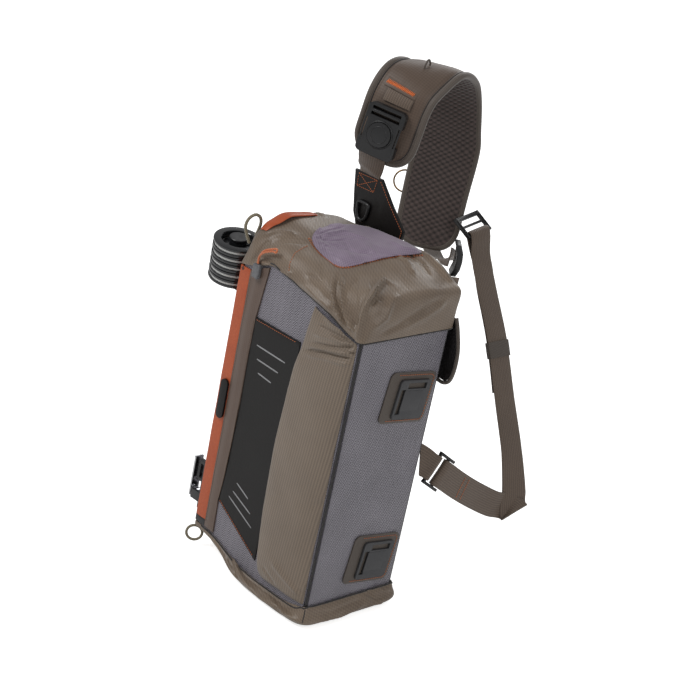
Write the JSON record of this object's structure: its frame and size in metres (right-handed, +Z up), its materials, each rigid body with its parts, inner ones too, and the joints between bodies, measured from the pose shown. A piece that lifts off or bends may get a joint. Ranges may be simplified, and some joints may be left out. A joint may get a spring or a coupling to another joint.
{
  "type": "fishing tackle sling bag",
  "caption": "Upright fishing sling bag with a soft hood, front pocket, welded side zip, lash tabs, tippet spools, a padded shoulder loop and a webbing strap.",
  "frame": {"origin": "on the ground under the middle of the bag's four walls", "axes": "+Z up along the bag's height, -Y out of the front with the dark panel, +X towards the side with the lash tabs"},
  "size_m": [0.3463, 0.3793, 0.6968],
  "materials": {
    "khaki_cloth": "matte",
    "grey_cloth": "matte",
    "mauve_cloth": "matte",
    "orange_band": "satin",
    "dark_panel": "satin",
    "strap_cloth": "matte",
    "pad_mesh": "matte",
    "webbing": "matte",
    "piping": "matte",
    "cord": "matte",
    "hard_plastic": "satin",
    "clear_grip": "gloss",
    "fishing_line": "gloss",
    "chrome": "polished",
    "bronze_ring": "satin"
  },
  "bodies": {
    "bag": {"side_wall_right": "grey_cloth", "side_wall_left": "grey_cloth", "front_wall": "grey_cloth", "back_wall": "grey_cloth", "piping_front_right": "piping", "piping_back_right": "piping", "piping_back_left": "piping", "hood": "khaki_cloth", "boot": "khaki_cloth", "front_pocket": "khaki_cloth", "dark_panel": "dark_panel", "storm_flap": "khaki_cloth", "zip_band_front": "orange_band", "zip_end_low": "hard_plastic", "zip_band_top": "orange_band", "stow_pocket": "mauve_cloth", "tab_patch_upper": "strap_cloth", "tab_plate_upper": "hard_plastic", "tab_patch_lower": "strap_cloth", "tab_plate_lower": "hard_plastic", "oval_tab": "dark_panel", "back_pad": "pad_mesh", "back_wing": "dark_panel", "back_wing_binding": "webbing", "shoulder_pad": "strap_cloth", "pad_lining": "pad_mesh", "pad_binding": "strap_cloth", "pad_webbing": "webbing", "pad_top_loop": "webbing", "pad_ring": "bronze_ring", "strap_patch": "dark_panel", "anchor_webbing": "webbing", "d_ring": "hard_plastic", "pad_buckle": "hard_plastic", "main_webbing": "webbing", "webbing_keeper": "strap_cloth", "lock": "hard_plastic", "lower_buckle": "hard_plastic", "lower_webbing": "webbing", "stabiliser_anchor": "webbing", "stabiliser_buckle": "hard_plastic", "stabiliser_webbing": "webbing", "spool_holder": "hard_plastic", "spool_cap": "hard_plastic", "clip_base": "hard_plastic", "cord_loop_top": "cord", "cord_loop_foot": "cord", "pull_cord": "orange_band", "zip_grip": "clear_grip"},
    "spool_body_1": {"spool_1": "hard_plastic", "spool_line_1": "fishing_line"},
    "spool_body_2": {"spool_2": "hard_plastic", "spool_line_2": "fishing_line"},
    "spool_body_3": {"spool_3": "hard_plastic", "spool_line_3": "fishing_line"},
    "spool_body_4": {"spool_4": "hard_plastic", "spool_line_4": "fishing_line"},
    "spool_body_5": {"spool_5": "hard_plastic", "spool_line_5": "fishing_line"},
    "lever_body": {"clip_lever": "chrome"}
  },
  "joints": [
    {"name": "spool_turn_1", "type": "hinge", "parent": "bag", "child": "spool_body_1", "pos_m": [-0.15508, -0.05437, 0.42657], "axis": [0.106, -0.115, 0.9877], "continuous": true},
    {"name": "spool_turn_2", "type": "hinge", "parent": "bag", "child": "spool_body_2", "pos_m": [-0.15629, -0.05306, 0.41531], "axis": [0.106, -0.115, 0.9877], "continuous": true},
    {"name": "spool_turn_3", "type": "hinge", "parent": "bag", "child": "spool_body_3", "pos_m": [-0.1575, -0.05175, 0.40405], "axis": [0.106, -0.115, 0.9877], "continuous": true},
    {"name": "spool_turn_4", "type": "hinge", "parent": "bag", "child": "spool_body_4", "pos_m": [-0.15871, -0.05044, 0.39279], "axis": [0.106, -0.115, 0.9877], "continuous": true},
    {"name": "spool_turn_5", "type": "hinge", "parent": "bag", "child": "spool_body_5", "pos_m": [-0.15991, -0.04913, 0.38153], "axis": [0.106, -0.115, 0.9877], "continuous": true},
    {"name": "lever_hinge", "type": "hinge", "parent": "bag", "child": "lever_body", "pos_m": [-0.133, -0.068, 0.073], "axis": [0, -1, 0], "range_deg": [0, 28]}
  ]
}
